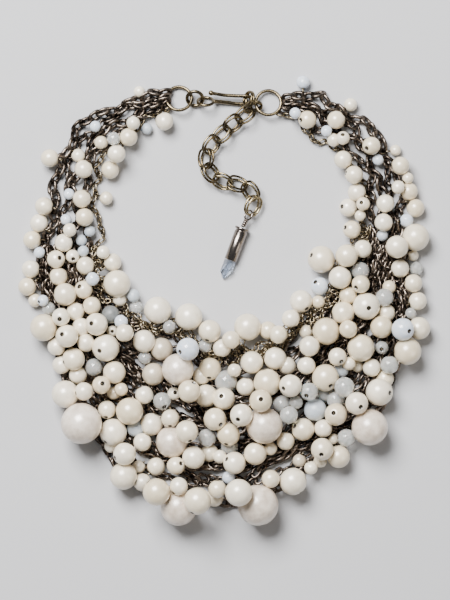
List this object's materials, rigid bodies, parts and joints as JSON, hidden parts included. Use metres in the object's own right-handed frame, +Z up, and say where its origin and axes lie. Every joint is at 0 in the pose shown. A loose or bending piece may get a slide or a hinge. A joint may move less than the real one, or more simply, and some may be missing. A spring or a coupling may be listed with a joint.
{
  "type": "bib necklace",
  "caption": "Bib necklace: imitation pearls of mixed sizes on several chain strands, with a hook clasp, an extension chain and a capped crystal drop, lying flat",
  "frame": {"origin": "centre of the underside of the necklace as it lies on a table, at table height", "axes": "+Z up from the table; +Y from the middle of the bib towards the clasp; +X to the right, towards the end ring that the hook catches"},
  "size_m": [0.1811, 0.1981, 0.0296],
  "materials": {
    "antique_brass": "aged, dark in the hollows and worn bright on the edges",
    "polished_brass": "satin, slightly browned",
    "quartz": "clear, faintly bluish, faceted",
    "pearl": "pearl lacquer, ivory, soft sheen",
    "opal": "milky, bluish, polished",
    "frosted": "grey, frosted"
  },
  "bodies": {
    "root": {"ring_left": "antique_brass", "ring_right": "antique_brass", "clasp_jump_ring": "antique_brass", "hook_clasp": "antique_brass", "extension_chain": "antique_brass", "strand_1": "antique_brass", "strand_2": "antique_brass", "strand_3": "antique_brass", "strand_4": "antique_brass", "strand_5": "antique_brass", "drop_wire": "polished_brass", "drop_casing": "polished_brass", "drop_crystal": "quartz", "pearl_01": "pearl", "pearl_02": "pearl", "pearl_03": "pearl", "pearl_04": "pearl", "pearl_05": "pearl", "pearl_06": "pearl", "pearl_07": "pearl", "pearl_08": "pearl", "pearl_09": "pearl", "pearl_10": "pearl", "pearl_11": "pearl", "pearl_12": "pearl", "pearl_13": "pearl", "pearl_14": "pearl", "pearl_15": "pearl", "pearl_16": "pearl", "pearl_17": "pearl", "pearl_18": "pearl", "pearl_19": "pearl", "pearl_20": "pearl", "pearl_21": "pearl", "pearl_22": "pearl", "pearl_23": "pearl", "pearl_24": "pearl", "pearl_25": "pearl", "pearl_26": "pearl", "pearl_27": "pearl", "pearl_28": "pearl", "pearl_29": "pearl", "pearl_30": "pearl", "pearl_31": "pearl", "pearl_32": "pearl", "pearl_33": "opal", "pearl_34": "pearl", "pearl_35": "pearl", "pearl_36": "pearl", "pearl_37": "pearl", "pearl_38": "pearl", "pearl_39": "pearl", "pearl_40": "frosted"}
  },
  "joints": []
}
